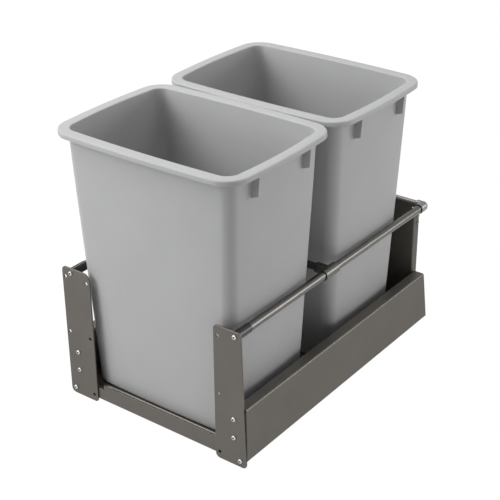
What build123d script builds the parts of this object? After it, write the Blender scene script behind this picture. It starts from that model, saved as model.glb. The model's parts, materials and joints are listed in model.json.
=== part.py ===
from build123d import *
import os

# Two-bin pull-out waste unit: a sheet-metal drawer frame on telescopic runners that are
# screwed to a cabinet floor, with two tapered bins standing one behind the other.
# Millimetres. X runs across the width, Y from front to back, Z up from the cabinet floor.

os.makedirs("parts", exist_ok=True)

# ---- drawer frame ------------------------------------------------------------------
frame_width = 378.0
sheet = 1.2
bend = 2.4                  # bend radius on the sheet's centre line
floor_gap = 3.0             # cabinet floor to the lowest moving edge
overrun = 1.0               # how far a cut runs past the face that it opens

# Side boxes: an outer wall, a flat ledge and an inner wall folded from one sheet.
box_width = 21.5
box_top = 114.5
box_outer_bottom = 17.0
box_inner_bottom = 20.0
box_length = 560.0
box_rake = 18.0             # how far the rear end leans forward at the top
box_nose = 10.5             # how far the front flange reaches inboard of the box
box_ear_bottom = 8.0        # lowest edge of the front flange's ear

# Front plates, which the cabinet door is screwed to.
plate_thickness = 3.0
plate_width = 61.0
plate_height = 247.0
right_plate_taper = 8.0     # how far the right plate's outer edge runs in at the top
right_plate_rounds = (8.0, 5.0, 7.0, 8.5)   # inner top, outer top, outer bottom, inner bottom
left_plate_rounds = (14.0, 8.0, 9.0, 6.0)
door_hole_radius = 3.1
door_hole_inset = 8.0       # inner column of door holes, from the plate's inner edge
door_hole_rise = 12.6       # lowest door hole, from the plate's bottom edge
door_hole_middle = 122.9
door_hole_drop = 18.4       # highest door hole, from the plate's top edge
left_outer_hole_inset = 6.5
box_screw_inset = 23.4      # screws into the side box, from the plate's outer edge
box_screw_drop = 24.3       # upper one, below the top of the side box
box_screw_pitch = 34.8
ear_screw_inset = 11.3
ear_screw_rise = 12.5
rail_screw_inset = 19.5     # screw into the rail plug, from the frame's outer face
rail_screw_drop = 9.0       # below the plate's top edge

# Front crossbar and base pan.
crossbar_bottom = 8.6
crossbar_height = 31.8
crossbar_foot = 14.0
crossbar_relief_inset = 13.0   # cut-out in the top edge, inboard of the left plate
crossbar_relief_drop = 9.0
apron_drop = 10.2           # pan's front apron, below its floor
bead_radius = 3.6           # ridges in the pan's floor
bead_end_gap = 7.2
pan_floor_top = 31.0
pan_flange = 20.0
pan_rear_gap = 2.5          # between the pan's rear edge and the back panel

# Back panel.
back_panel_inset = 25.5     # panel's inner face, ahead of the side boxes' rear ends
back_return = 15.5
back_panel_rise = 3.5       # panel's top edge, above the front plates' top edges
panel_corner_gap = 1.5      # around the gallery rails and the elbows

# ---- gallery rails -----------------------------------------------------------------
rail_radius = 7.3
rail_bore = 6.1
rail_fit = 0.1              # radial gap of a rail in its plug, sleeve and elbow
mouth_gap = 1.0             # radial relief around a rail where it enters a fitting
mouth_depth = 2.0
plug_radius = 8.2
plug_length = 32.0
plug_stop = 10.0            # closed front end of the plug, which takes the plate's top screw
plug_edge = 0.5
sleeve_radius = 9.4
sleeve_length = 38.0
sleeve_edge = 0.8
boss_reach = 26.0           # divider boss, inboard of the rail axis
boss_wall = 2.0
boss_round = 2.5
divider_depth = 9.0
divider_height = 11.0
divider_wall = 1.2
divider_round = 2.2
divider_insertion = 12.0
rear_rail_setback = 22.5    # rear rail's axis, behind the back panel's inner face
rear_rail_insertion = 10.0
rail_corner_gap = 0.8       # between a gallery rail's end and the rear rail
elbow_radius = 9.4
elbow_lead = 15.0           # elbow's front mouth, ahead of the rear rail's axis
elbow_reach = 12.0          # elbow's side mouth, inboard of the gallery rail's axis
elbow_edge = 0.8
tab_thickness = 3.0        # elbow's tab, riveted inside the back panel's return
tab_depth = 8.0
tab_drop = 36.0            # lower end of the tab, below the rails' axes
tab_rivet_rise = 6.0       # lower rivet, above the tab's lower end
tab_rivet_pitch = 14.0

# ---- screws ------------------------------------------------------------------------
screw_radius = 2.5
screw_head_radius = 3.9
screw_head_height = 2.6
screw_head_round = 1.6
screw_socket_radius = 1.9
screw_socket_depth = 1.7
screw_fit = 0.1
nut_radius = 4.0
nut_length = 3.0
nut_clearance = 0.4         # around a nut in the window of the side box's inner wall
rivet_radius = 2.0
rivet_fit = 0.05
rivet_head_radius = 3.6
rivet_head_height = 1.0
flush_head_height = 0.5     # heads that face the side box's outer wall
rivets_per_row = 4
rivet_end_inset = 45.0      # first and last rivet of a row, from the row's ends
panel_rivet_inset = 18.0    # from the side box's ledge and from its bottom edge

# ---- bins --------------------------------------------------------------------------
bin_height = 466.5
bin_seat_gap = 0.3
bin_wall = 2.8
bin_floor = 3.0
rim_side_inset = 10.4       # rim corner to the side box's outer face
rim_overhang = 18.0         # how far the front rim stands ahead of the front plane
rim_gap = 1.2               # between the two rims
bin_rear_gap = 8.3          # between the rear rim and the back panel
rim_bow_x = 6.5             # how far the middle of a rim side stands proud of its corners
rim_bow_y = 5.7
rim_width = 18.7
rim_radius = 35.8
rim_thickness = 3.0
rim_lip = 9.0
rim_round = 2.4
bin_draft = 17.0            # how far each wall runs in from rim to floor
bin_wall_bow = 3.0
neck_bow_share = 0.75       # the wall's bow under the rim's long sides, as a share of the rim's
bin_floor_radius = 22.0
bin_floor_round = 9.0
rib_offset = 65.0
rib_thickness = 4.5
rib_drop = 48.0             # rib foot below the rim's top
rib_slant = 5.0
rib_inset = 4.6             # rib's outer edge, inside the middle of the rim's side

# ---- runners -----------------------------------------------------------------------
runner_centre = 62.0        # height of the runners' middle
runner_front = 12.0         # front end of the fixed member, from the front plane
runner_rear_inset = 23.0    # rear end of the fixed member, ahead of the boxes' rear ends
runner_sheet = 1.5
runner_half_height = 23.0
runner_lip = 10.0
middle_front = 20.0
middle_rear_inset = 43.0
drawer_member_front = 8.0
drawer_member_rear_inset = 35.0
drawer_member_lip = 5.9
drawer_member_gap = 0.4     # between the drawer member's lips and the inner cage
ball_radius = 1.9
ball_fit = 0.1
ball_pitch = 28.0
balls_per_row = 8
cage_length = 240.0
cage_stagger = 5.0          # outer cage ahead of, inner cage behind the middle
cage_sheet = 0.65
cage_lip = 1.2              # thickness of the lips that hold the balls
cage_lip_reach = 2.4        # lips beyond the balls' middle

# ---- floor brackets ----------------------------------------------------------------
bracket_sheet = 1.8
bracket_width = 44.0
bracket_front_inset = 60.0  # front bracket, from the front plane
bracket_rear_inset = 49.0   # rear bracket, ahead of the boxes' rear ends
bracket_play = 1.0          # between a bracket's leg and the box's outer wall
bracket_shelf_top = 17.0
bracket_leg_top = 82.0
bracket_shelf = 36.8        # leg to the step down to the foot
foot_width = 30.0
floor_hole_radius = 2.6
floor_hole_spacing = 24.0

# ---- soft-close units --------------------------------------------------------------
damper_rear_inset = 63.0    # rear end, ahead of the boxes' rear ends
damper_length = 120.0
damper_height = 17.0
damper_width = 12.0
damper_bore = 4.1
damper_radius = 4.0
damper_case_round = 1.2
cylinder_round = 0.8
cylinder_end_gap = 2.0      # behind the cylinder, inside the case
damper_rod_radius = 1.5
damper_rod_length = 10.0
catch_length = 12.0
catch_setback = 37.0        # middle of the catch, from the case's front end
catch_fit = 0.1
catch_recess = 0.4          # catch's face inside the case's face
catch_slot = 5.4            # height of the slot that the catch pin runs in
catch_slot_depth = 5.0
catch_pin_radius = 2.0
catch_pin_fit = 0.2
catch_pin_reach = 6.6

# ---- derived planes ----------------------------------------------------------------
half = frame_width / 2
rear_overhang = max(0, rear_rail_setback + elbow_radius - back_panel_inset)   # elbows behind the boxes
front = -(plate_thickness + box_length + rear_overhang - rim_overhang) / 2    # centres the unit on Y
flange_front = front + plate_thickness
box_rear = flange_front + box_length
panel_face = box_rear - back_panel_inset
box_inner = half - box_width
box_cavity = box_inner + sheet              # inner wall's face towards the runner
outer_wall_face = half - sheet
plate_inner = half - plate_width
plate_top = floor_gap + plate_height
rail_x = half - rail_screw_inset            # the rails' axes are those of the plates' top screws
rail_height = plate_top - rail_screw_drop
rear_rail_y = panel_face + rear_rail_setback
rail_rear = rear_rail_y - rail_radius - rail_corner_gap
rear_rail_half_length = rail_x - elbow_reach + rear_rail_insertion
elbow_mouth = rear_rail_y - elbow_lead
tab_bottom = rail_height - tab_drop
bin_base = pan_floor_top + bin_seat_gap
rim_length = frame_width - 2 * rim_side_inset
bin_depth = (panel_face - bin_rear_gap - rim_gap - front + rim_overhang) / 2
rim_depth = bin_depth - 2 * rim_bow_y
front_bin_y = front - rim_overhang + bin_depth / 2
bin_pitch = bin_depth + rim_gap
rib_x = rim_length / 2 + rim_bow_x - rib_inset
leg_outer = outer_wall_face - bracket_play
bracket_step = leg_outer - bracket_shelf
bracket_fronts = (front + bracket_front_inset, box_rear - bracket_rear_inset - bracket_width)
fixed_web_outer = leg_outer - bracket_sheet
fixed_web_inner = fixed_web_outer - runner_sheet
ball_row = 2 * (ball_radius + ball_fit)
fixed_lip_face = runner_half_height - runner_sheet
middle_flange_top = fixed_lip_face - ball_row
middle_flange_under = middle_flange_top - runner_sheet
member_half_height = middle_flange_under - ball_row
member_web_outer = box_cavity + runner_sheet
member_lip_tip = box_cavity + drawer_member_lip
damper_bottom = runner_centre + runner_half_height
inner_cage_x = member_lip_tip + drawer_member_gap
fixed_span = (front + runner_front, box_rear - runner_rear_inset)
middle_span = (front + middle_front, box_rear - middle_rear_inset)
drawer_member_span = (front + drawer_member_front, box_rear - drawer_member_rear_inset)
cage_middle = (middle_span[0] + middle_span[1]) / 2
outer_row = (fixed_lip_face + middle_flange_top) / 2          # balls above and below the centre
inner_row = (middle_flange_under + member_half_height) / 2
outer_cage_front = cage_middle - cage_length / 2 - cage_stagger
inner_cage_front = cage_middle - cage_length / 2 + cage_stagger
damper_span = (box_rear - damper_rear_inset - damper_length, box_rear - damper_rear_inset)
inner_cage_web = inner_cage_x + cage_sheet
middle_web = inner_cage_web + drawer_member_gap
outer_cage_tip = fixed_web_inner - drawer_member_gap
outer_ball_x = outer_cage_tip - cage_sheet - ball_radius - ball_fit
inner_ball_x = inner_cage_x - ball_radius - ball_fit
middle_outer_tip = outer_cage_tip - cage_sheet - drawer_member_gap
middle_inner_tip = inner_ball_x - ball_radius


# ---- helpers -----------------------------------------------------------------------
def block(x, y, z):
    """Box between three (low, high) pairs."""
    middle = Pos((x[0] + x[1]) / 2, (y[0] + y[1]) / 2, (z[0] + z[1]) / 2)
    return middle * Box(x[1] - x[0], y[1] - y[0], z[1] - z[0])


def rod_x(x, y, z, radius):
    """Cylinder along X between the pair x."""
    return Pos((x[0] + x[1]) / 2, y, z) * Rot(0, 90, 0) * Cylinder(radius, x[1] - x[0])


def rod_y(x, y, z, radius):
    """Cylinder along Y between the pair y."""
    return Pos(x, (y[0] + y[1]) / 2, z) * Rot(90, 0, 0) * Cylinder(radius, y[1] - y[0])


def rod_z(x, y, z, radius):
    """Cylinder along Z between the pair z."""
    return Pos(x, y, (z[0] + z[1]) / 2) * Cylinder(radius, z[1] - z[0])


def folded_along_y(points, y, thickness=sheet, radius=bend):
    """Sheet folded along (x, z) points of its centre line, between the pair y."""
    section = trace(FilletPolyline(*points, radius=radius), thickness)
    return extrude(Plane.XZ.offset(-y[1]) * section, y[1] - y[0])


def folded_along_x(points, x, thickness=sheet, radius=bend):
    """Sheet folded along (y, z) points of its centre line, between the pair x."""
    section = trace(FilletPolyline(*points, radius=radius), thickness)
    return extrude(Plane.YZ.offset(x[0]) * section, x[1] - x[0])


def outline_along_y(points, y):
    """Solid whose outline is the (x, z) polygon, between the pair y."""
    section = make_face(Polyline(*points, close=True))
    return extrude(Plane.XZ.offset(-y[1]) * section, y[1] - y[0])


def outline_along_x(points, x):
    """Solid whose outline is the (y, z) polygon, between the pair x."""
    section = make_face(Polyline(*points, close=True))
    return extrude(Plane.YZ.offset(x[0]) * section, x[1] - x[0])


def save(name, solid):
    export_step(solid, f"parts/{name}.step")


def save_pair(name, right):
    """The right-hand piece and its mirror image."""
    save(name + "_right", right)
    save(name + "_left", mirror(right, about=Plane.YZ))


def group(solids):
    """Separate solids kept in one node."""
    return Compound(children=list(solids))


# ---- drawer frame ------------------------------------------------------------------
def side_box():
    centre = sheet / 2
    walls = folded_along_y(
        [
            (half - centre, box_outer_bottom),
            (half - centre, box_top - centre),
            (box_inner + centre, box_top - centre),
            (box_inner + centre, box_inner_bottom),
        ],
        (flange_front, box_rear),
    )
    rake = outline_along_x(
        [
            (box_rear, box_outer_bottom),
            (box_rear - box_rake, box_top),
            (box_rear - box_rake, box_top + overrun),
            (box_rear + overrun, box_top + overrun),
            (box_rear + overrun, box_outer_bottom),
        ],
        (box_inner - overrun, half + overrun),
    )
    flange = block(
        (box_inner - box_nose, outer_wall_face),
        (flange_front, flange_front + sheet),
        (box_ear_bottom, box_top - 2 * bend),
    )
    through_flange = [screw_bore(x, z, screw_radius + screw_fit) for x, z in box_screw_points()]
    window_span = (flange_front + sheet, flange_front + sheet + nut_length + nut_clearance)
    window_radius = nut_radius + nut_clearance
    nut_windows = [rod_y(x, window_span, z, window_radius) for x, z in box_screw_points()]
    pin_span = (box_inner - overrun, box_cavity + overrun)
    pin_hole = rod_x(pin_span, catch_pin_y(), catch_pin_z(), catch_pin_radius)
    return walls - rake + flange - through_flange - nut_windows - pin_hole - inner_wall_rivets(rivet_fit)


def box_screw_points():
    """Right-hand (x, z) places of the screws that hold a plate to its side box."""
    upper = box_top - box_screw_drop
    heights = (upper - box_screw_pitch, upper)
    points = [(half - box_screw_inset, height) for height in heights]
    points.append((half - ear_screw_inset, floor_gap + ear_screw_rise))
    return points


def door_hole_heights():
    """Lowest, middle and highest door hole."""
    return floor_gap + door_hole_rise, floor_gap + door_hole_middle, plate_top - door_hole_drop


def screw_bore(x, z, radius):
    """Hole through the plate and the sheet behind it."""
    return rod_y(x, (front - overrun, flange_front + sheet + overrun), z, radius)


def plate_blank(top_outer, radii):
    """Plate on the right-hand side, with a corner radius each."""
    corners = [
        (plate_inner, plate_top),
        (top_outer, plate_top),
        (half, floor_gap),
        (plate_inner, floor_gap),
    ]
    edge = FilletPolyline(*corners, radius=list(radii), close=True)
    return extrude(Plane.XZ.offset(-flange_front) * make_face(edge), plate_thickness)


def plate_holes(extra_points):
    """Door holes in the inner column and at extra points, with the screw holes."""
    column = [(plate_inner + door_hole_inset, height) for height in door_hole_heights()]
    doors = [screw_bore(x, z, door_hole_radius) for x, z in column + extra_points]
    screws = box_screw_points() + [(rail_x, rail_height)]
    return doors + [screw_bore(x, z, screw_radius + screw_fit) for x, z in screws]


def right_plate():
    blank = plate_blank(half - right_plate_taper, right_plate_rounds)
    return blank - plate_holes([])


def left_plate():
    blank = plate_blank(half, left_plate_rounds)
    outer = [(half - left_outer_hole_inset, height) for height in door_hole_heights()[1:]]
    return mirror(blank - plate_holes(outer), about=Plane.YZ)


def crossbar():
    centre = sheet / 2
    face = flange_front + centre
    bar = folded_along_x(
        [
            (flange_front + crossbar_foot, crossbar_bottom + centre),
            (face, crossbar_bottom + centre),
            (face, crossbar_bottom + crossbar_height),
        ],
        (-crossbar_half(), crossbar_half()),
    )
    hole_x = plate_inner + door_hole_inset
    holes = [screw_bore(side * hole_x, door_hole_heights()[0], door_hole_radius) for side in (-1, 1)]
    return bar - holes - crossbar_relief()


def crossbar_relief():
    """Cut in the bar's top edge, at its left end."""
    top = crossbar_bottom + crossbar_height
    return block(
        (-half, -plate_inner + crossbar_relief_inset),
        (flange_front - overrun, flange_front + sheet + overrun),
        (top - crossbar_relief_drop, top + overrun),
    )


def crossbar_half():
    """Half the crossbar's length: it butts against the side boxes' front flanges."""
    return box_inner - box_nose


def base_pan():
    centre = sheet / 2
    wall = box_inner - centre
    floor_z = pan_floor_top - centre
    tray = folded_along_y(
        [
            (-wall, pan_floor_top + pan_flange),
            (-wall, floor_z),
            (wall, floor_z),
            (wall, pan_floor_top + pan_flange),
        ],
        (flange_front + sheet, panel_face - pan_rear_gap),
    )
    apron = block(
        (-crossbar_half(), crossbar_half()),
        (flange_front + sheet, flange_front + 2 * sheet),
        (floor_z - apron_drop, floor_z),
    )
    centres = [front_bin_y + step * bin_pitch for step in (0, 1)]
    beads = [pan_bead(y + side * bead_offset()) for y in centres for side in (-1, 1)]
    reliefs = [door_hole_relief(side) for side in (-1, 1)]
    rivet_holes = both_sides(pan_rivet_shanks(rivet_fit))
    return tray + apron + beads - reliefs - rivet_holes


def bead_offset():
    """Half the distance between the beads that a bin's floor stands between."""
    return rim_depth / 2 - rim_width + bin_wall - bin_draft + bin_wall_bow


def pan_bead(y):
    """Low ridge pressed up from the pan's floor, which keeps a bin in its place."""
    reach = box_inner - bead_end_gap
    under = pan_floor_top - sheet
    ridge = rod_x((-reach, reach), y, under, bead_radius)
    return ridge & block((-reach, reach), (y - bead_radius, y + bead_radius), (under, under + bead_radius))


def door_hole_relief(side):
    x = side * (plate_inner + door_hole_inset)
    z = door_hole_heights()[0]
    return rod_y(x, (flange_front, flange_front + 2 * sheet + overrun), z, door_hole_radius)


def back_panel():
    centre = sheet / 2
    wall = box_inner - centre
    web = panel_face + centre
    return_end = panel_face + back_return
    top = plate_top + back_panel_rise
    section = [
        (-wall, return_end),
        (-wall, web),
        (wall, web),
        (wall, return_end),
    ]
    sheet_section = trace(FilletPolyline(*section, radius=bend), sheet)
    panel = extrude(Pos(0, 0, box_inner_bottom) * sheet_section, top - box_inner_bottom)
    corner = block(
        (rail_x - rail_radius - panel_corner_gap, half),
        (panel_face - overrun, return_end + overrun),
        (rail_height - elbow_radius - panel_corner_gap, top + overrun),
    )
    rivet_holes = both_sides(panel_rivet_shanks(rivet_fit) + tab_rivet_shanks(rivet_fit))
    return panel - both_sides([corner]) - rivet_holes


# ---- gallery rails -----------------------------------------------------------------
def gallery_rail():
    y = (flange_front + plug_stop, rail_rear)
    tube = rod_y(rail_x, y, rail_height, rail_radius)
    return tube - rod_y(rail_x, (y[0] - overrun, y[1] + overrun), rail_height, rail_bore)


def rear_rail():
    """Tube between the elbows, behind the back panel."""
    reach = rear_rail_half_length
    tube = rod_x((-reach, reach), rear_rail_y, rail_height, rail_radius)
    return tube - rod_x((-reach - overrun, reach + overrun), rear_rail_y, rail_height, rail_bore)


def rail_space(y):
    """Bore of a fitting for the gallery rail between the pair y."""
    return rod_y(rail_x, y, rail_height, rail_radius + rail_fit)


def rail_mouth(y):
    """Relief around the gallery rail in the fitting whose front face is at y."""
    return rod_y(rail_x, (y - overrun, y + mouth_depth), rail_height, rail_radius + mouth_gap)


def rail_plug():
    stop = flange_front + plug_stop
    y = (flange_front, flange_front + plug_length)
    barrel = rod_y(rail_x, y, rail_height, plug_radius)
    barrel = fillet(barrel.edges().group_by(Axis.Y)[-1], plug_edge)
    thread = rod_y(rail_x, (y[0] - overrun, stop + overrun), rail_height, screw_radius + screw_fit)
    return barrel - rail_space((stop, y[1] + overrun)) - thread


def rail_sleeve():
    y = (divider_y() - sleeve_length / 2, divider_y() + sleeve_length / 2)
    barrel = rod_y(rail_x, y, rail_height, sleeve_radius)
    barrel = fillet(barrel.edges().filter_by(GeomType.CIRCLE), sleeve_edge)
    boss = divider_section((rail_x - boss_reach, rail_x), boss_wall)
    boss = fillet(boss.edges().filter_by(Axis.X), boss_round)
    boss_end = rail_x - boss_reach
    pocket = divider_section((boss_end - overrun, boss_end + divider_insertion), rail_fit)
    return barrel + boss - pocket - rail_space((y[0] - overrun, y[1] + overrun)) - rail_mouth(y[0])


def divider_y():
    """Middle of the divider bar, which lies midway between the two bins."""
    return front_bin_y + bin_pitch / 2


def divider_section(x, grown):
    """Block with the divider bar's section, grown on its four long faces."""
    middle = divider_y()
    return block(
        x,
        (middle - divider_depth / 2 - grown, middle + divider_depth / 2 + grown),
        (rail_height - divider_height / 2 - grown, rail_height + divider_height / 2 + grown),
    )


def divider_bar():
    reach = rail_x - boss_reach + divider_insertion - rail_fit
    bar = divider_section((-reach, reach), 0)
    bar = fillet(bar.edges().filter_by(Axis.X), divider_round)
    hollow = divider_section((-reach - overrun, reach + overrun), -divider_wall)
    hollow = fillet(hollow.edges().filter_by(Axis.X), divider_round - divider_wall)
    return bar - hollow


def rail_elbow():
    """Round corner piece between a gallery rail and the rear rail, with a tab below it."""
    side_mouth = rail_x - elbow_reach
    along_y = rod_y(rail_x, (elbow_mouth, rear_rail_y), rail_height, elbow_radius)
    along_y = fillet(along_y.edges().group_by(Axis.Y)[0], elbow_edge)
    along_x = rod_x((side_mouth, rail_x), rear_rail_y, rail_height, elbow_radius)
    along_x = fillet(along_x.edges().group_by(Axis.X)[0], elbow_edge)
    corner = Pos(rail_x, rear_rail_y, rail_height) * Sphere(elbow_radius)
    tab = block(tab_faces(), (elbow_mouth, elbow_mouth + tab_depth), (tab_bottom, rail_height))
    rear_span = (side_mouth - overrun, rear_rail_half_length + rail_fit)
    rear_bore = rod_x(rear_span, rear_rail_y, rail_height, rail_radius + rail_fit)
    side_bore = rail_space((elbow_mouth - overrun, rail_rear + rail_fit))
    elbow = along_y + along_x + corner + tab
    return elbow - side_bore - rail_mouth(elbow_mouth) - rear_bore - tab_rivet_shanks(rivet_fit)


def tab_faces():
    """Inner and outer face of the right-hand elbow's tab, which lies on the panel's return."""
    outer = box_inner - sheet
    return outer - tab_thickness, outer


# ---- screws ------------------------------------------------------------------------
def plate_screw(x, z, length):
    """Button-head screw with a hexagon socket, through a front plate."""
    head = rod_y(x, (front - screw_head_height, front), z, screw_head_radius)
    head = fillet(head.edges().group_by(Axis.Y)[0], screw_head_round)
    shank = rod_y(x, (front, front + length), z, screw_radius)
    socket_floor = Plane.XZ.offset(-(front - screw_head_height + screw_socket_depth))
    hexagon = socket_floor * Pos(x, z) * RegularPolygon(screw_socket_radius, 6)
    socket = extrude(hexagon, screw_head_height)
    return head + shank - socket


def plate_screws():
    grip = plate_thickness + sheet + nut_length
    screws = [plate_screw(x, z, grip) for x, z in box_screw_points()]
    screws.append(plate_screw(rail_x, rail_height, plate_thickness + plug_stop))
    return group(screws)


def box_nuts():
    """Round weld nuts behind the side box's front flange."""
    y = flange_front + sheet
    nuts = []
    for x, z in box_screw_points():
        body = rod_y(x, (y, y + nut_length), z, nut_radius)
        bore = rod_y(x, (y - overrun, y + nut_length + overrun), z, screw_radius + screw_fit)
        nuts.append(body - bore)
    return group(nuts)


def both_sides(right_solids):
    """Right-hand solids and their mirror images."""
    return list(right_solids) + [mirror(solid, about=Plane.YZ) for solid in right_solids]


def shanks(x, places, radius):
    """Rods along X between the pair x, at (y, z) places."""
    return [rod_x(x, y, z, radius) for y, z in places]


def row(span):
    """Y of the rivets of a row along the span."""
    first = span[0] + rivet_end_inset
    pitch = (span[1] - rivet_end_inset - first) / (rivets_per_row - 1)
    return [first + step * pitch for step in range(rivets_per_row)]


def pan_rivet_places():
    z = pan_floor_top + pan_flange - bend - rivet_head_radius
    return [(y, z) for y in row((flange_front, panel_face - pan_rear_gap))]


def panel_rivet_places():
    y = panel_face + back_return - bend - rivet_head_radius
    heights = (box_inner_bottom + panel_rivet_inset, box_top - panel_rivet_inset)
    return [(y, z) for z in heights]


def tab_rivet_places():
    y = elbow_mouth + tab_depth / 2
    lower = tab_bottom + tab_rivet_rise
    return [(y, lower), (y, lower + tab_rivet_pitch)]


def drawer_rivet_places():
    return [(y, runner_centre) for y in row(drawer_member_span)]


def pan_rivet_shanks(clearance):
    return shanks((box_inner - sheet, box_cavity), pan_rivet_places(), rivet_radius + clearance)


def panel_rivet_shanks(clearance):
    return shanks((box_inner - sheet, box_cavity), panel_rivet_places(), rivet_radius + clearance)


def tab_rivet_shanks(clearance):
    return shanks((tab_faces()[0], box_inner), tab_rivet_places(), rivet_radius + clearance)


def drawer_rivet_shanks(clearance):
    return shanks((box_inner, member_web_outer), drawer_rivet_places(), rivet_radius + clearance)


def inner_wall_rivets(clearance):
    """Every rivet shank through the right-hand side box's inner wall."""
    through = pan_rivet_shanks(clearance) + panel_rivet_shanks(clearance)
    return through + drawer_rivet_shanks(clearance)


def riveted(x, places):
    """Rivets with a head beyond each end of the pair x."""
    heads = shanks((x[0] - rivet_head_height, x[0]), places, rivet_head_radius)
    tails = shanks((x[1], x[1] + rivet_head_height), places, rivet_head_radius)
    bodies = shanks(x, places, rivet_radius)
    return [head + body + tail for head, body, tail in zip(heads, bodies, tails)]


def pan_rivets():
    return group(both_sides(riveted((box_inner - sheet, box_cavity), pan_rivet_places())))


def back_panel_rivets():
    """Rivets through the panel's returns: into the side boxes, and through the elbows' tabs."""
    into_boxes = riveted((box_inner - sheet, box_cavity), panel_rivet_places())
    through_tabs = riveted((tab_faces()[0], box_inner), tab_rivet_places())
    return group(both_sides(into_boxes + through_tabs))


def drawer_runner_rivets():
    return group(riveted((box_inner, member_web_outer), drawer_rivet_places()))


# ---- bins --------------------------------------------------------------------------
def bowed_outline(half_x, half_y, bow_x, bow_y, radius):
    """Rounded rectangle whose sides are flat arcs that stand proud by the bows."""
    sides = [
        ThreePointArc((half_x, -half_y), (half_x + bow_x, 0), (half_x, half_y)),
        ThreePointArc((half_x, half_y), (0, half_y + bow_y), (-half_x, half_y)),
        ThreePointArc((-half_x, half_y), (-half_x - bow_x, 0), (-half_x, -half_y)),
        ThreePointArc((-half_x, -half_y), (0, -half_y - bow_y), (half_x, -half_y)),
    ]
    face = make_face(sides)
    return fillet(face.vertices(), radius)


def rim_outline(inset):
    return bowed_outline(
        rim_length / 2 - inset, rim_depth / 2 - inset, rim_bow_x, rim_bow_y, rim_radius - inset
    )


def body_outline(inset, radius, bow_share, bow):
    """Outline of the bin's wall, inset from the rim's corner-to-corner size."""
    bow_x = bow_share * rim_bow_x + (1 - bow_share) * bow
    bow_y = bow_share * rim_bow_y * neck_bow_share + (1 - bow_share) * bow
    return bowed_outline(rim_length / 2 - inset, rim_depth / 2 - inset, bow_x, bow_y, radius)


def bin_body():
    top_inset = rim_width - bin_wall
    floor_inset = top_inset + bin_draft
    floor_face = body_outline(floor_inset, bin_floor_radius, 0, bin_wall_bow)
    top_face = body_outline(top_inset, rim_radius - top_inset, 1, bin_wall_bow)
    outer = loft([floor_face, Pos(0, 0, bin_height) * top_face])
    outer = fillet(outer.edges().group_by(Axis.Z)[0], bin_floor_round)
    inner_floor = body_outline(
        floor_inset + bin_wall, bin_floor_radius - bin_wall, 0, bin_wall_bow
    )
    inner_top = body_outline(rim_width, rim_radius - rim_width, 1, bin_wall_bow)
    inner = loft([Pos(0, 0, bin_floor) * inner_floor, Pos(0, 0, bin_height) * inner_top])
    inner = fillet(inner.edges().group_by(Axis.Z)[0], bin_floor_round - bin_wall)
    return outer, inner


def bin_rim():
    top = Pos(0, 0, bin_height - rim_thickness) * extrude(rim_outline(0), rim_thickness)
    lip = extrude(rim_outline(0) - rim_outline(rim_thickness), rim_lip)
    rim = top + Pos(0, 0, bin_height - rim_lip) * lip
    return fillet(rim.edges().group_by(Axis.Z)[-1], rim_round)


def bin_rib(side_x, side_y):
    """Upright rib under the rim, on the end walls."""
    root = rim_length / 2 - rim_width
    foot = bin_height - rib_drop
    edge = [
        (root, bin_height - rim_thickness / 2),
        (rib_x, bin_height - rim_thickness / 2),
        (rib_x - rim_thickness, foot + rib_slant),
        (root, foot),
    ]
    y = side_y * rib_offset
    rib = outline_along_y(edge, (y - rib_thickness / 2, y + rib_thickness / 2))
    return rib if side_x > 0 else mirror(rib, about=Plane.YZ)


def waste_bin():
    outer, inner = bin_body()
    ribs = [bin_rib(side_x, side_y) for side_x in (-1, 1) for side_y in (-1, 1)]
    return outer + bin_rim() + ribs - inner


def placed_bin(step):
    """The bin, standing on the pan: step 0 is the front one, 1 the rear one."""
    return Pos(0, front_bin_y + step * bin_pitch, bin_base) * waste_bin()


# ---- runners -----------------------------------------------------------------------
def channel(web_x, tip_x, half_height, y, thickness=runner_sheet):
    """C-shaped member: web's outer face at web_x, lips reaching to tip_x."""
    towards = 1 if tip_x > web_x else -1
    low, high = sorted((web_x, tip_x))
    shell = block((low, high), y, (runner_centre - half_height, runner_centre + half_height))
    hollow_x = sorted((web_x + towards * thickness, tip_x + towards * overrun))
    hollow_z = (runner_centre - half_height + thickness, runner_centre + half_height - thickness)
    return shell - block(hollow_x, (y[0] - overrun, y[1] + overrun), hollow_z)


def fixed_runner():
    member = channel(fixed_web_outer, fixed_web_outer - runner_lip, runner_half_height, fixed_span)
    return member - fixed_rivet_shanks(rivet_fit)


def drawer_runner():
    member = channel(box_cavity, member_lip_tip, member_half_height, drawer_member_span)
    return member - drawer_rivet_shanks(rivet_fit)


def middle_runner():
    web = block(
        (middle_web, middle_web + runner_sheet),
        middle_span,
        (runner_centre - middle_flange_top, runner_centre + middle_flange_top),
    )
    flanges = []
    for side in (-1, 1):
        z = sorted((runner_centre + side * middle_flange_under, runner_centre + side * middle_flange_top))
        flanges.append(block((middle_inner_tip, middle_outer_tip), middle_span, z))
    return web + flanges


def ball_places(row, cage_front):
    """(y, z) of the balls: two rows, each row off the runner's centre by the value row."""
    first = cage_front + (cage_length - (balls_per_row - 1) * ball_pitch) / 2
    along = [first + step * ball_pitch for step in range(balls_per_row)]
    return [(y, runner_centre + side * row) for side in (-1, 1) for y in along]


def balls(x, row, cage_front):
    return group(Pos(x, y, z) * Sphere(ball_radius) for y, z in ball_places(row, cage_front))


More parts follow.
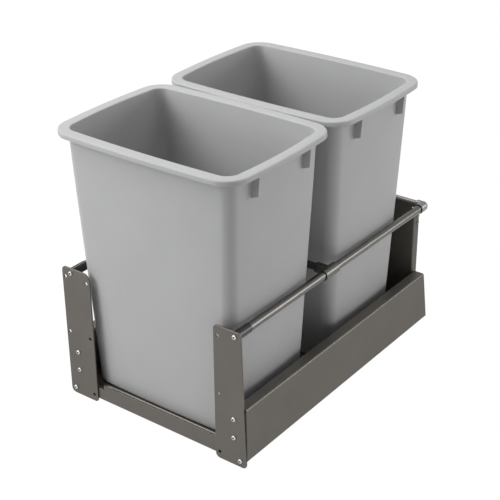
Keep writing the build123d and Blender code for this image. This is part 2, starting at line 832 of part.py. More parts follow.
def ball_cage(web_x, ball_x, row, cage_front):
    """C-shaped retainer: web at web_x, lips through which the balls stand."""
    towards = 1 if ball_x > web_x else -1
    y = (cage_front, cage_front + cage_length)
    tip = ball_x + towards * cage_lip_reach
    lip_outer = row + cage_lip / 2
    lip_inner = row - cage_lip / 2
    web_z = (runner_centre - lip_outer, runner_centre + lip_outer)
    cage = block(sorted((web_x, web_x + towards * cage_sheet)), y, web_z)
    for side in (-1, 1):
        lip_z = sorted((runner_centre + side * lip_inner, runner_centre + side * lip_outer))
        cage += block(sorted((web_x, tip)), y, lip_z)
    for ball_y, z in ball_places(row, cage_front):
        cage -= rod_z(ball_x, ball_y, (z - cage_lip, z + cage_lip), ball_radius + ball_fit / 2)
    return cage


# ---- floor brackets ----------------------------------------------------------------
def floor_bracket(bracket_front):
    y = (bracket_front, bracket_front + bracket_width)
    centre = bracket_sheet / 2
    bracket = folded_along_y(
        [
            (leg_outer - centre, bracket_leg_top),
            (leg_outer - centre, bracket_shelf_top - centre),
            (bracket_step - centre, bracket_shelf_top - centre),
            (bracket_step - centre, centre),
            (bracket_step - foot_width, centre),
        ],
        y,
        bracket_sheet,
    )
    places = floor_holes(bracket_front)
    hole_z = (-overrun, bracket_sheet + overrun)
    holes = [rod_z(x, hole_y, hole_z, floor_hole_radius) for x, hole_y in places]
    return bracket - holes - fixed_rivet_shanks(rivet_fit)


def floor_holes(bracket_front):
    """Right-hand (x, y) places of one bracket's floor screws."""
    middle = bracket_front + bracket_width / 2
    x = bracket_step - foot_width / 2 - bracket_sheet
    return [(x, middle + side * floor_hole_spacing / 2) for side in (-1, 1)]


def fixed_rivet_places():
    """(y, z) places of the rivets between the brackets' legs and the fixed member."""
    middles = [start + bracket_width / 2 for start in bracket_fronts]
    return [(y + side * floor_hole_spacing / 2, runner_centre) for y in middles for side in (-1, 1)]


def fixed_rivet_shanks(clearance):
    return shanks((fixed_web_inner, leg_outer), fixed_rivet_places(), rivet_radius + clearance)


def runner_rivets():
    """Rivets that end flush in the fixed member, with flat heads outside the legs."""
    heads = shanks((leg_outer, leg_outer + flush_head_height), fixed_rivet_places(), rivet_head_radius)
    return group(head + shank for head, shank in zip(heads, fixed_rivet_shanks(0)))


# ---- soft-close units --------------------------------------------------------------
def catch_pin_y():
    return damper_span[0] + catch_setback


def catch_pin_z():
    return damper_bottom + damper_height / 2


def catch_rear():
    return catch_pin_y() + catch_length / 2


def damper_housing():
    y = damper_span
    outer = fixed_web_outer
    face = outer - damper_width
    case = block((face, outer), y, (damper_bottom, damper_bottom + damper_height))
    case = fillet(case.edges().filter_by(Axis.Y), damper_case_round)
    slot = block(
        (face - overrun, face + catch_slot_depth),
        (y[0] - overrun, catch_rear() + catch_fit),
        (catch_pin_z() - catch_slot / 2, catch_pin_z() + catch_slot / 2),
    )
    bore = rod_y(damper_axis(), (catch_rear(), y[1] + overrun), catch_pin_z(), damper_bore)
    return case - slot - bore


def damper_axis():
    return fixed_web_outer - damper_width / 2


def damper_cylinder():
    span = (catch_rear() + damper_rod_length, damper_span[1] - cylinder_end_gap)
    barrel = rod_y(damper_axis(), span, catch_pin_z(), damper_radius)
    return fillet(barrel.edges().filter_by(GeomType.CIRCLE), cylinder_round)


def damper_rod():
    span = (catch_rear(), catch_rear() + damper_rod_length)
    return rod_y(damper_axis(), span, catch_pin_z(), damper_rod_radius)


def soft_close_catch():
    """Fork in the housing's slot; the drawer's pin leaves it towards the front."""
    face = fixed_web_outer - damper_width
    y = catch_pin_y()
    z = catch_pin_z()
    slot_half = catch_slot / 2 - catch_fit
    pin_half = catch_pin_radius + catch_pin_fit
    fork = block(
        (face + catch_recess, face + catch_slot_depth - catch_fit),
        (y - catch_length / 2, catch_rear()),
        (z - slot_half, z + slot_half),
    )
    mouth = block(
        (face, face + catch_slot_depth),
        (y - catch_length / 2 - overrun, y),
        (z - pin_half, z + pin_half),
    )
    seat = rod_x((face, fixed_web_outer), y, z, pin_half)
    return fork - mouth - seat


def catch_pin():
    """Pin riveted through the side box's inner wall, seated in the catch."""
    y = catch_pin_y()
    z = catch_pin_z()
    head_end = box_inner - rivet_head_height
    pin = rod_x((head_end, box_cavity + catch_pin_reach), y, z, catch_pin_radius)
    head = rod_x((head_end, box_inner), y, z, rivet_head_radius)
    return pin + head


# ---- write the pieces --------------------------------------------------------------
save_pair("side_box", side_box())
save("front_plate_right", right_plate())
save("front_plate_left", left_plate())
save("front_crossbar", crossbar())
save("base_pan", base_pan())
save("back_panel", back_panel())
save("rear_top_rail", rear_rail())
save_pair("gallery_rail", gallery_rail())
save_pair("rail_plug", rail_plug())
save_pair("rail_sleeve", rail_sleeve())
save_pair("rear_rail_elbow", rail_elbow())
save("divider_bar", divider_bar())
save_pair("plate_screws", plate_screws())
save_pair("box_nuts", box_nuts())
save("pan_rivets", pan_rivets())
save("back_panel_rivets", back_panel_rivets())
save_pair("drawer_runner_rivets", drawer_runner_rivets())
save("bin_front", placed_bin(0))
save("bin_rear", placed_bin(1))
save_pair("fixed_runner", fixed_runner())
save_pair("middle_runner", middle_runner())
save_pair("drawer_runner", drawer_runner())
save_pair("outer_balls", balls(outer_ball_x, outer_row, outer_cage_front))
save_pair("outer_ball_cage", ball_cage(outer_cage_tip, outer_ball_x, outer_row, outer_cage_front))
save_pair("inner_balls", balls(inner_ball_x, inner_row, inner_cage_front))
save_pair("inner_ball_cage", ball_cage(inner_cage_web, inner_ball_x, inner_row, inner_cage_front))
for place, bracket_front in zip(("front", "rear"), bracket_fronts):
    save_pair(f"floor_bracket_{place}", floor_bracket(bracket_front))
save_pair("runner_rivets", runner_rivets())
save_pair("soft_close_housing", damper_housing())
save_pair("damper_cylinder", damper_cylinder())
save_pair("damper_rod", damper_rod())
save_pair("soft_close_catch", soft_close_catch())
save_pair("catch_pin", catch_pin())
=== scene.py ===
import json
import math

import bmesh
import bpy
from mathutils import Matrix, Vector

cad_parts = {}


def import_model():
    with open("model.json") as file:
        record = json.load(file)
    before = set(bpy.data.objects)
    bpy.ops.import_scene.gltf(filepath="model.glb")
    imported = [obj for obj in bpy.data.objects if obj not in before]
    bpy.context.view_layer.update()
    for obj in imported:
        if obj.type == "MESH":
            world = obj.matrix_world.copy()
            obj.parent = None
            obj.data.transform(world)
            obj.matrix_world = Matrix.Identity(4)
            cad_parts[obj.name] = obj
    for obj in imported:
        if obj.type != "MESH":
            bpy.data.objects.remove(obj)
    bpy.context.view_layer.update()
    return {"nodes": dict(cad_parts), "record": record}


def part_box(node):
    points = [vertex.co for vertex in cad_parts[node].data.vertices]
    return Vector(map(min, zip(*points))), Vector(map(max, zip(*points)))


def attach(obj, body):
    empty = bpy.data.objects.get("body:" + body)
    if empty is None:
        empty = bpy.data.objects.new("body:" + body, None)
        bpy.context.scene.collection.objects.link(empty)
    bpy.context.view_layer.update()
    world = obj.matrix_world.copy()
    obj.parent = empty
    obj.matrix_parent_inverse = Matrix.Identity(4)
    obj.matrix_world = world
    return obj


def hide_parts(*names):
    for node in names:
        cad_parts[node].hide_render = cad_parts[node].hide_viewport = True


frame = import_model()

MM = 0.001
NODES = frame["nodes"]
SLOTS = {part["node"]: part["material_slot"] for part in frame["record"]["subparts"]}
BODY_OF = {
    node: body
    for body, nodes in frame["record"]["behaviour"]["bodies"].items()
    for node in nodes
}
SIDES = ("left", "right")

# ---- camera: the photograph's viewpoint ----------------------------------------------
PHOTO_SIZE = 500.0
FOCAL_PIXELS = 1255.25
SENSOR = 36.0
AZIMUTH = math.radians(37.083)
ELEVATION = math.radians(27.616)
ROLL = math.radians(-0.508)
AIM_SETBACK = 250.0 * MM                   # the aim point, behind the frame's front plane
AIM_HEIGHT = 203.0 * MM
AIM_OFFSET = (-8.7 * MM, -24.28 * MM)      # where the aim point lies right of and above the axis
AIM_DISTANCE = 2163.5 * MM
VIEW_DEPTH = 50.0


# ---- materials -----------------------------------------------------------------------
TEXTURE_LOW = 0.3            # most of a noise's or a cell pattern's values lie between these
TEXTURE_HIGH = 0.7
PAINTED_RECESS_SHADE = 0.03          # painted shade: what is left of the colour at the bottom of a recess


class Surface:
    """A Principled material with its texture nodes in the object's own metres."""

    def __init__(self, name, colour, roughness, metallic=0.0, specular=0.5):
        self.material = bpy.data.materials.new(name)
        self.material.use_nodes = True
        self.tree = self.material.node_tree
        self.shader = self.tree.nodes["Principled BSDF"]
        self.shader.inputs["Base Color"].default_value = (*colour, 1)
        self.shader.inputs["Roughness"].default_value = roughness
        self.shader.inputs["Metallic"].default_value = metallic
        self.shader.inputs["Specular IOR Level"].default_value = specular
        self.colour = colour
        self.place = self.tree.nodes.new("ShaderNodeTexCoord").outputs["Object"]
        self.height = None

    def stretched(self, scale):
        """The object's coordinates, stretched along its axes."""
        mapping = self.tree.nodes.new("ShaderNodeMapping")
        mapping.inputs["Scale"].default_value = scale
        self.tree.links.new(self.place, mapping.inputs["Vector"])
        return mapping.outputs["Vector"]

    def noise(self, grain, detail=3.0, stretch=None):
        """Noise whose lumps are about grain metres across."""
        node = self.tree.nodes.new("ShaderNodeTexNoise")
        node.inputs["Scale"].default_value = 1 / grain
        node.inputs["Detail"].default_value = detail
        place = self.stretched(stretch) if stretch else self.place
        self.tree.links.new(place, node.inputs["Vector"])
        return node.outputs["Fac"]

    def cells(self, grain):
        """A random grey for each small cell, as in metal flake or spangle."""
        node = self.tree.nodes.new("ShaderNodeTexVoronoi")
        node.inputs["Scale"].default_value = 1 / grain
        self.tree.links.new(self.place, node.inputs["Vector"])
        grey = self.tree.nodes.new("ShaderNodeRGBToBW")
        self.tree.links.new(node.outputs["Color"], grey.inputs["Color"])
        return grey.outputs["Val"]

    def remapped(self, value, low, high):
        """A texture's value, with its usual range stretched to run from low to high."""
        node = self.tree.nodes.new("ShaderNodeMapRange")
        node.inputs["From Min"].default_value = TEXTURE_LOW
        node.inputs["From Max"].default_value = TEXTURE_HIGH
        node.inputs["To Min"].default_value = low
        node.inputs["To Max"].default_value = high
        self.tree.links.new(value, node.inputs["Value"])
        return node.outputs["Result"]

    def vary_colour(self, value, low, high):
        """The colour so far, times a factor that runs from low to high with the value."""
        factor = self.remapped(value, low, high)
        node = self.tree.nodes.new("ShaderNodeVectorMath")
        node.operation = "SCALE"
        base = self.shader.inputs["Base Color"]
        if base.is_linked:
            self.tree.links.new(base.links[0].from_socket, node.inputs[0])
        else:
            node.inputs[0].default_value = self.colour
        self.tree.links.new(factor, node.inputs["Scale"])
        self.tree.links.new(node.outputs["Vector"], base)

    def vary_roughness(self, value, low, high):
        """Roughness that runs from low to high with the value."""
        self.tree.links.new(self.remapped(value, low, high), self.shader.inputs["Roughness"])

    def paint_recess_shade(self, reach):
        """The colour so far, dimmed where walls stand within that reach: painted shade in
        recesses.
        """
        openness = self.tree.nodes.new("ShaderNodeAmbientOcclusion")
        openness.inputs["Distance"].default_value = reach
        self.vary_colour(openness.outputs["AO"], PAINTED_RECESS_SHADE, 1.0)

    def bump(self, value, depth, strength=1.0):
        """Relief of that depth in metres, on top of the relief so far."""
        node = self.tree.nodes.new("ShaderNodeBump")
        node.inputs["Distance"].default_value = depth
        node.inputs["Strength"].default_value = strength
        self.tree.links.new(value, node.inputs["Height"])
        if self.height:
            self.tree.links.new(self.height, node.inputs["Normal"])
        self.height = node.outputs["Normal"]
        self.tree.links.new(self.height, self.shader.inputs["Normal"])


def moulded_grey():
    """Polypropylene with a fine spark-eroded grain."""
    surface = Surface("bin_plastic", (0.455, 0.458, 0.458), 0.5, specular=0.35)
    surface.vary_colour(surface.noise(90 * MM), 0.975, 1.02)
    surface.vary_colour(surface.noise(1.2 * MM), 0.98, 1.02)
    surface.vary_roughness(surface.noise(14 * MM), 0.46, 0.56)
    surface.bump(surface.noise(0.9 * MM, 4), 0.06 * MM)
    surface.bump(surface.noise(160 * MM, 1), 1.0 * MM, 0.3)
    return surface.material


def powder_coat(name, colour, roughness, metallic, edge_tint=1.0):
    """Baked metallic paint: flake and a slight orange peel, dimmer at a graze below tint 1."""
    surface = Surface(name, colour, roughness, metallic, specular=0.4)
    surface.shader.inputs["Specular Tint"].default_value = (edge_tint, edge_tint, edge_tint, 1)
    surface.vary_colour(surface.cells(0.5 * MM), 0.975, 1.025)
    surface.vary_colour(surface.noise(60 * MM), 0.96, 1.04)
    surface.vary_roughness(surface.noise(8 * MM), roughness - 0.03, roughness + 0.04)
    surface.bump(surface.noise(4.0 * MM, 1), 0.006 * MM)
    return surface.material


def drawn_tube():
    """Coated tube with faint lines that run fore and aft."""
    surface = Surface("rail_tube", (0.125, 0.12, 0.113), 0.26, 1.0)
    lines = surface.noise(0.8 * MM, 3, (1, 0.02, 1))
    surface.vary_colour(lines, 0.94, 1.06)
    surface.vary_roughness(lines, 0.22, 0.3)
    surface.bump(lines, 0.008 * MM)
    return surface.material


def plated_steel(name, colour, roughness, spangle, painted_shade_reach=0.0):
    """Plated steel with a cloudy, cell-like bloom, and painted shade in recesses of about that
    width.
    """
    surface = Surface(name, colour, roughness, 1.0)
    # painted shade: the colour is dimmed in recesses, where shadow falls
    if painted_shade_reach:
        surface.paint_recess_shade(painted_shade_reach)
    surface.vary_colour(surface.cells(spangle), 0.92, 1.05)
    surface.vary_colour(surface.noise(20 * MM), 0.93, 1.05)
    surface.vary_roughness(surface.noise(3 * MM), roughness - 0.07, roughness + 0.08)
    surface.bump(surface.noise(0.5 * MM), 0.008 * MM)
    return surface.material


def polished_steel():
    """Ground and polished balls, with hardly any texture."""
    surface = Surface("ball_steel", (0.78, 0.78, 0.79), 0.12, 1.0)
    surface.vary_roughness(surface.noise(2 * MM), 0.08, 0.18)
    surface.vary_colour(surface.noise(5 * MM), 0.95, 1.03)
    return surface.material


def plug_black():
    """Black moulding with a gloss."""
    surface = Surface("plug_plastic", (0.012, 0.012, 0.012), 0.2, specular=0.45)
    surface.vary_colour(surface.noise(6 * MM), 0.9, 1.1)
    surface.vary_roughness(surface.noise(3 * MM), 0.18, 0.27)
    surface.bump(surface.noise(0.7 * MM), 0.006 * MM)
    return surface.material


def damper_grey():
    """Dark satin moulding."""
    surface = Surface("damper_plastic", (0.09, 0.095, 0.1), 0.45)
    surface.vary_colour(surface.noise(6 * MM), 0.93, 1.06)
    surface.vary_roughness(surface.noise(4 * MM), 0.4, 0.52)
    surface.bump(surface.noise(0.7 * MM), 0.03 * MM)
    return surface.material


MATERIALS = {
    "bin_plastic": moulded_grey(),
    "frame_steel": powder_coat("frame_steel", (0.148, 0.138, 0.124), 0.38, 0.6, 0.4),
    "rail_fitting": powder_coat("rail_fitting", (0.25, 0.242, 0.232), 0.28, 1.0),
    "rail_tube": drawn_tube(),
    "plug_plastic": plug_black(),
    # the screws get painted shade in their sockets and where the heads meet the plates
    "zinc_screw": plated_steel("zinc_screw", (0.62, 0.62, 0.6), 0.3, 0.8 * MM, 4.0 * MM),
    "rivet": plated_steel("rivet", (0.2, 0.195, 0.19), 0.45, 1.0 * MM),
    "runner_steel": plated_steel("runner_steel", (0.62, 0.63, 0.64), 0.32, 3.0 * MM),
    "ball_steel": polished_steel(),
    "damper_plastic": damper_grey(),
}


# ---- meshes --------------------------------------------------------------------------
WELD = 0.005 * MM            # points nearer than this are one corner of a solid
FLAT_ANGLE = 1.0             # degrees: faces that turn less are one flat face
SHARP_ANGLE = 40.0           # degrees: edges that turn more are rounded over
SMOOTH_ANGLE = 32.0
BIN_SMOOTH_ANGLE = 40.0


def new_mesh(work, name):
    """A mesh with what was built in work, which is freed."""
    mesh = bpy.data.meshes.new(name)
    work.to_mesh(mesh)
    work.free()
    return mesh


def new_piece(name, mesh, slot):
    """An object in the scene, in the material of that slot."""
    piece = bpy.data.objects.new(name, mesh)
    bpy.context.scene.collection.objects.link(piece)
    mesh.materials.clear()
    mesh.materials.append(MATERIALS[slot])
    return piece


def smooth(mesh, angle=SMOOTH_ANGLE):
    mesh.shade_smooth()
    mesh.set_sharp_from_angle(angle=math.radians(angle))


def applied(piece):
    """The piece with the results of its modifiers in its mesh."""
    depsgraph = bpy.context.evaluated_depsgraph_get()
    mesh = bpy.data.meshes.new_from_object(piece.evaluated_get(depsgraph))
    piece.modifiers.clear()
    piece.data = mesh
    return mesh


def stand_for(piece, node):
    """The piece replaces a CAD node, which is hidden: it rides on the node's body."""
    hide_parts(node)
    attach(piece, BODY_OF[node])


def softened(node, width, segments=2, clamp=True):
    """A copy of a node's solid with its sharp edges rounded over, as real edges are."""
    work = bmesh.new()
    work.from_mesh(NODES[node].data)
    bmesh.ops.remove_doubles(work, verts=work.verts, dist=WELD)
    bmesh.ops.dissolve_limit(
        work, angle_limit=math.radians(FLAT_ANGLE), verts=work.verts, edges=work.edges
    )
    sharp = [
        edge for edge in work.edges
        if len(edge.link_faces) == 2 and edge.calc_face_angle() > math.radians(SHARP_ANGLE)
    ]
    bmesh.ops.bevel(
        work, geom=sharp, offset=width, segments=segments, profile=0.5,
        affect="EDGES", clamp_overlap=clamp,
    )
    mesh = new_mesh(work, node + "_finish")
    smooth(mesh)
    piece = new_piece(node + "_finish", mesh, SLOTS[node])
    flat = piece.modifiers.new("flat", "WEIGHTED_NORMAL")
    flat.weight = 100                      # the large faces alone set the shading
    flat.keep_sharp = True
    applied(piece)
    stand_for(piece, node)


# ---- bins ----------------------------------------------------------------------------
RIM_HALF = (178.6 * MM, 130.8 * MM)        # half sizes over the rim, without its bow
RIM_BOW = (6.5 * MM, 5.7 * MM)
RIM_WIDTH = 18.7 * MM
RIM_RADIUS = 35.8 * MM
RIM_THICKNESS = 3.0 * MM
RIM_LIP = 9.0 * MM                         # height of the lip turned down at the rim's edge
RIM_ROUND = 2.4 * MM
LIP_ROUND = 0.9 * MM
INNER_ROUND = 2.0 * MM
INNER_BOW_LOSS = 0.25                      # share of the long sides' bow lost across the rim
NECK_ROUND = 2.2 * MM
WALL = 2.8 * MM
WALL_LEVELS = (0.12, 0.3, 0.5, 0.7, 0.87)  # shares of the height with a ring on the wall
FLOOR = 3.0 * MM
FLOOR_INSETS = (0.5 * RIM_HALF[1], 0.8 * RIM_HALF[1])
DRAFT = 17.0 * MM                          # how much further in the wall stands at the floor
WALL_BOW = 3.0 * MM
FLOOR_RADIUS = 22.0 * MM
FLOOR_ROUND = 9.0 * MM
RIB_OFFSET = 65.0 * MM                     # from the middle of the end wall, to either side
RIB_THICKNESS = 4.5 * MM
RIB_DROP = 48.0 * MM                       # from the rim's top down to the rib's foot
RIB_SLANT = 5.0 * MM
RIB_INSET = 3.1 * MM                       # from the rim's edge in to the rib's
RIB_ROUND = 0.6 * MM
CORNER_STEPS = 12
SIDE_STEPS = 20
ROUND_STEPS = 5
WIDE_ROUND_STEPS = 8
INNER_ROUND_STEPS = 6


def bowed_ring(half_x, half_y, radius, bow_x, bow_y):
    """Points of a rounded rectangle whose sides bulge by the bows."""
    corners = [(1, 1, 0), (-1, 1, 90), (-1, -1, 180), (1, -1, 270)]

    def on_corner(corner, turned):
        side_x, side_y, start = corner
        angle = math.radians(start + turned)
        centre = Vector((side_x * (half_x - radius), side_y * (half_y - radius)))
        return centre + radius * Vector((math.cos(angle), math.sin(angle)))

    points = []
    for corner, following in zip(corners, corners[1:] + corners[:1]):
        points += [on_corner(corner, 90 * step / CORNER_STEPS) for step in range(CORNER_STEPS + 1)]
        side_start = points[-1]
        side_end = on_corner(following, 0)
        points += [side_start.lerp(side_end, step / SIDE_STEPS) for step in range(1, SIDE_STEPS)]
    bulge_x = bow_x / half_x
    bulge_y = bow_y / half_y
    return [
        Vector((
            p.x * (1 + bulge_x * (1 - (p.y / half_y) ** 2)),
            p.y * (1 + bulge_y * (1 - (p.x / half_x) ** 2)),
        ))
        for p in points
    ]


def bin_ring(inset, height, total):
    """Ring of the bin's skin: inset from the rim's outer edge, at a height above the underside."""
    depth = (total - height) / total
    top_inset = min(max(inset, 0), RIM_WIDTH)
    radius_top = RIM_RADIUS - top_inset
    radius = radius_top + (FLOOR_RADIUS - radius_top) * depth
    share = 1 - depth
    kept = 1 - INNER_BOW_LOSS * top_inset / RIM_WIDTH
    bow_x = share * RIM_BOW[0] + depth * WALL_BOW
    bow_y = share * RIM_BOW[1] * kept + depth * WALL_BOW
    ring = bowed_ring(RIM_HALF[0] - inset, RIM_HALF[1] - inset, radius, bow_x, bow_y)
    return [Vector((p.x, p.y, height)) for p in ring]


def arc(centre, radius, start, end, steps=ROUND_STEPS):
    """(inset, height) points of a rounded edge, from one angle in degrees to another."""
    angles = [math.radians(start + (end - start) * step / steps) for step in range(steps + 1)]
    return [
        (centre[0] + radius * math.cos(angle), centre[1] + radius * math.sin(angle))
        for angle in angles
    ]


def bin_profile(total):
    """(inset, height) points from the middle of the underside round to the floor inside."""
    neck = RIM_WIDTH - WALL
    under = total - RIM_THICKNESS
    lip = total - RIM_LIP

    def outer(height):
        return neck + DRAFT * (total - height) / total

    def inner(height):
        return RIM_WIDTH + DRAFT * (total - height) / total

    levels = [share * total for share in WALL_LEVELS]
    sole = outer(FLOOR_ROUND) + FLOOR_ROUND
    inside = FLOOR_ROUND - WALL
    wall_top = under - NECK_ROUND

    points = [(inset, 0.0) for inset in reversed(FLOOR_INSETS)]
    points += arc((sole, FLOOR_ROUND), FLOOR_ROUND, 270, 180, WIDE_ROUND_STEPS)
    points += [(outer(height), height) for height in levels]
    points += arc((outer(wall_top) - NECK_ROUND, wall_top), NECK_ROUND, 0, 90)
    points += arc((RIM_THICKNESS + LIP_ROUND, under - LIP_ROUND), LIP_ROUND, 90, 180)
    points += arc((RIM_THICKNESS - LIP_ROUND, lip + LIP_ROUND), LIP_ROUND, 0, -90)
    points += arc((LIP_ROUND, lip + LIP_ROUND), LIP_ROUND, 270, 180)
    points += arc((RIM_ROUND, total - RIM_ROUND), RIM_ROUND, 180, 90, WIDE_ROUND_STEPS)
    brim = (RIM_WIDTH - INNER_ROUND, total - INNER_ROUND)
    points += arc(brim, INNER_ROUND, 90, 0, INNER_ROUND_STEPS)
    points += [(inner(height), height) for height in reversed(levels)]
    corner = (inner(FLOOR + inside) + inside, FLOOR + inside)
    points += arc(corner, inside, 180, 270, INNER_ROUND_STEPS)
    points += [(inset, FLOOR) for inset in FLOOR_INSETS]
    return points


def wall_middle(height, total):
    """X of the middle of the end wall's thickness, at the ribs' distance from its centre."""
    depth = (total - height) / total
    inset = RIM_WIDTH - WALL / 2 + DRAFT * depth
    bow = (1 - depth) * RIM_BOW[0] + depth * WALL_BOW
    return RIM_HALF[0] - inset + bow * (1 - (RIB_OFFSET / (RIM_HALF[1] - inset)) ** 2)


def rib_faces(side_x, side_y, total):
    """The corners of the two side faces of one upright rib under the rim."""
    top = total - RIM_THICKNESS / 2
    reach = RIM_HALF[0] + RIM_BOW[0] * (1 - (RIB_OFFSET / RIM_HALF[1]) ** 2) - RIB_INSET
    foot = total - RIB_DROP
    outline = [
        (wall_middle(top, total), top),
        (reach, top),
        (reach - RIM_THICKNESS, foot + RIB_SLANT),
        (wall_middle(foot, total), foot),
    ]
    y = side_y * RIB_OFFSET
    return [
        [Vector((side_x * x, y + edge * RIB_THICKNESS / 2, z)) for x, z in outline]
        for edge in (-1, 1)
    ]


def lofted(work, rings):
    """Quads between rings of equal count, with a face over the first and the last."""
    grid = [[work.verts.new(point) for point in ring] for ring in rings]
    count = len(rings[0])
    for low, high in zip(grid, grid[1:]):
        for index in range(count):
            following = (index + 1) % count
            work.faces.new((low[index], low[following], high[following], high[index]))
    work.faces.new(list(reversed(grid[0])))
    work.faces.new(grid[-1])


def bin_shell(total):
    """The hollow moulding with its rim and lip, without ribs."""
    work = bmesh.new()
    lofted(work, [bin_ring(inset, height, total) for inset, height in bin_profile(total)])
    bmesh.ops.recalc_face_normals(work, faces=work.faces)
    return new_mesh(work, "shell")


def bin_ribs(total):
    """The four ribs, two at each end wall, with rounded edges."""
    work = bmesh.new()
    for side_x in (-1, 1):
        for side_y in (-1, 1):
            lofted(work, rib_faces(side_x, side_y, total))
    bmesh.ops.recalc_face_normals(work, faces=work.faces)
    bmesh.ops.bevel(
        work, geom=list(work.edges), offset=RIB_ROUND, segments=3, profile=0.5, affect="EDGES"
    )
    return new_mesh(work, "ribs")


def waste_bin(node):
    """One moulding: shell with rim and lip, joined with the four ribs."""
    low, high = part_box(node)
    total = high.z - low.z
    piece = new_piece(node + "_moulding", bin_shell(total), "bin_plastic")
    ribs = new_piece(node + "_ribs", bin_ribs(total), "bin_plastic")
    union = piece.modifiers.new("ribs", "BOOLEAN")
    union.operation = "UNION"
    union.solver = "EXACT"
    union.object = ribs
    mesh = applied(piece)
    bpy.data.objects.remove(ribs)
    mesh.transform(Matrix.Translation(((low.x + high.x) / 2, (low.y + high.y) / 2, low.z)))
    smooth(mesh, BIN_SMOOTH_ANGLE)
    stand_for(piece, node)


# ---- dressing ------------------------------------------------------------------------
EDGE_ROUND = 0.75 * MM
EDGE_STEPS = 3
FITTING_ROUND = 0.25 * MM
FOLDED = ["front_crossbar", "base_pan", "back_panel"]
FOLDED += [f"side_box_{side}" for side in SIDES]
PLATES = [f"front_plate_{side}" for side in SIDES]
FITTINGS = ["divider_bar"]
FITTINGS += [
    f"{name}_{side}"
    for name in ("rail_plug", "rail_sleeve", "rear_rail_elbow", "plate_screws")
    for side in SIDES
]


def dress():
    """Bins remade, visible edges rounded, and each node in the material of its slot."""
    for node in ("bin_front", "bin_rear"):
        waste_bin(node)
    for node in FOLDED:
        softened(node, EDGE_ROUND, EDGE_STEPS)
    for node in PLATES:
        softened(node, EDGE_ROUND, EDGE_STEPS, clamp=False)
    for node in FITTINGS:
        softened(node, FITTING_ROUND)
    for name, node in NODES.items():
        node.data.materials.clear()
        node.data.materials.append(MATERIALS[SLOTS[name]])


dress()


# ---- stage ---------------------------------------------------------------------------
FLOOR_HALF = 6.0
FLOOR_GREY = 0.6
BACKDROP = 1.0               # the world's strength where it is looked at
AMBIENT = 0.08               # and for the light that it gives
SHADOW_SHARE = 0.1           # how much of the floor's own shading the camera sees
FLOOR_WHITE = 1.09           # makes up for that share, so that the open floor is white


def either(tree, first, second):
    """1 where either of two values, each 0 or 1, is 1."""
    node = tree.nodes.new("ShaderNodeMath")
    node.operation = "MAXIMUM"
    tree.links.new(first, node.inputs[0])
    tree.links.new(second, node.inputs[1])
    return node.outputs["Value"]


def seen_directly(tree):
    """1 for rays from the camera and for reflected or refracted ones, else 0."""
    rays = tree.nodes.new("ShaderNodeLightPath")
    mirrored = either(tree, rays.outputs["Is Camera Ray"], rays.outputs["Is Glossy Ray"])
    return either(tree, mirrored, rays.outputs["Is Transmission Ray"])


def mixed(tree, factor, first, second):
    """The first shader where the factor is 0, the second where it is 1."""
    mix = tree.nodes.new("ShaderNodeMixShader")
    tree.links.new(factor, mix.inputs["Fac"])
    tree.links.new(first, mix.inputs[1])
    tree.links.new(second, mix.inputs[2])
    return mix.outputs["Shader"]


def floor_material():
    """Pale floor: the camera sees it near white, and it keeps a soft shadow."""
    material = bpy.data.materials.new("floor")
    material.use_nodes = True
    tree = material.node_tree
    tree.nodes.clear()
    output = tree.nodes.new("ShaderNodeOutputMaterial")
    paint = tree.nodes.new("ShaderNodeBsdfDiffuse")
    paint.inputs["Color"].default_value = (FLOOR_GREY, FLOOR_GREY, FLOOR_GREY, 1)
    white = tree.nodes.new("ShaderNodeEmission")
    white.inputs["Strength"].default_value = FLOOR_WHITE
    share = tree.nodes.new("ShaderNodeMath")
    share.operation = "MULTIPLY"
    share.inputs[1].default_value = 1 - SHADOW_SHARE
    tree.links.new(seen_directly(tree), share.inputs[0])
    both = mixed(tree, share.outputs["Value"], paint.outputs["BSDF"], white.outputs["Emission"])
    tree.links.new(both, output.inputs["Surface"])
    return material


def floor():
    """A square floor under the part, kept out of the export."""
    work = bmesh.new()
    bmesh.ops.create_grid(work, x_segments=1, y_segments=1, size=FLOOR_HALF)
    mesh = new_mesh(work, "floor")
    mesh.materials.append(floor_material())
    plane = bpy.data.objects.new("floor", mesh)
    bpy.context.scene.collection.objects.link(plane)


def world():
    """Pale for the camera and for reflections, a dim grey light for the rest."""
    surroundings = bpy.data.worlds.new("surroundings")
    bpy.context.scene.world = surroundings
    surroundings.use_nodes = True
    tree = surroundings.node_tree
    tree.nodes.clear()
    output = tree.nodes.new("ShaderNodeOutputWorld")
    light = tree.nodes.new("ShaderNodeBackground")
    light.inputs["Strength"].default_value = AMBIENT
    pale = tree.nodes.new("ShaderNodeBackground")
    pale.inputs["Strength"].default_value = BACKDROP
    both = mixed(
        tree, seen_directly(tree), light.outputs["Background"], pale.outputs["Background"]
    )
    tree.links.new(both, output.inputs["Surface"])


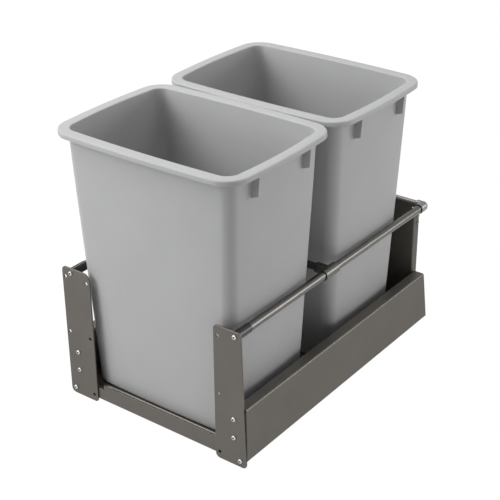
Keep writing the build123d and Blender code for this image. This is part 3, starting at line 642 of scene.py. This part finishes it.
def softbox(name, place, aim, width, power):
    """Square lamp of that width in metres and power in watts, aimed at a point."""
    lamp = bpy.data.lights.new(name, "AREA")
    lamp.shape = "SQUARE"
    lamp.size = width
    lamp.energy = power
    box = bpy.data.objects.new(name, lamp)
    box.location = place
    box.rotation_euler = (Vector(aim) - Vector(place)).to_track_quat("-Z", "Y").to_euler()
    bpy.context.scene.collection.objects.link(box)


def lights():
    middle = (0.0, 0.0, 0.25)
    softbox("left_high", (-1.5, -1.2, 2.2), middle, 1.6, 37.5)
    softbox("left_front", (-1.2, -2.1, 1.3), middle, 1.4, 29.5)
    softbox("right_rear", (1.9, 1.85, 0.85), middle, 0.9, 11.0)
    softbox("right_low", (2.4, 1.2, 0.35), middle, 1.2, 15.5)
    softbox("right_front", (2.3, -0.7, 0.5), middle, 1.2, 5.0)
    softbox("right_high", (1.7, 0.9, 2.2), middle, 1.4, 6.7)
    softbox("overhead", (0.0, 0.0, 2.4), middle, 1.8, 22.0)
    softbox("left_rear", (-1.3, 1.3, 1.9), middle, 0.55, 3.8)


def camera():
    """The photograph's camera, fitted to the frame's front plane."""
    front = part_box("front_plate_right")[0].y
    aim = Vector((0, front + AIM_SETBACK, AIM_HEIGHT))
    toward = Vector((
        math.sin(AZIMUTH) * math.cos(ELEVATION),
        -math.cos(AZIMUTH) * math.cos(ELEVATION),
        math.sin(ELEVATION),
    ))
    level = Vector((math.cos(AZIMUTH), math.sin(AZIMUTH), 0))
    upright = toward.cross(level)
    right = math.cos(ROLL) * level + math.sin(ROLL) * upright
    up = -math.sin(ROLL) * level + math.cos(ROLL) * upright
    lens = bpy.data.cameras.new("camera")
    lens.sensor_width = SENSOR
    lens.lens = FOCAL_PIXELS / PHOTO_SIZE * SENSOR
    lens.clip_end = VIEW_DEPTH
    viewer = bpy.data.objects.new("camera", lens)
    place = aim + toward * AIM_DISTANCE - right * AIM_OFFSET[0] - up * AIM_OFFSET[1]
    turn = Matrix((right, up, toward)).transposed()
    viewer.matrix_world = Matrix.Translation(place) @ turn.to_4x4()
    bpy.context.scene.collection.objects.link(viewer)
    bpy.context.scene.camera = viewer


floor()
world()
lights()
camera()
bpy.context.scene.view_settings.view_transform = "Standard"
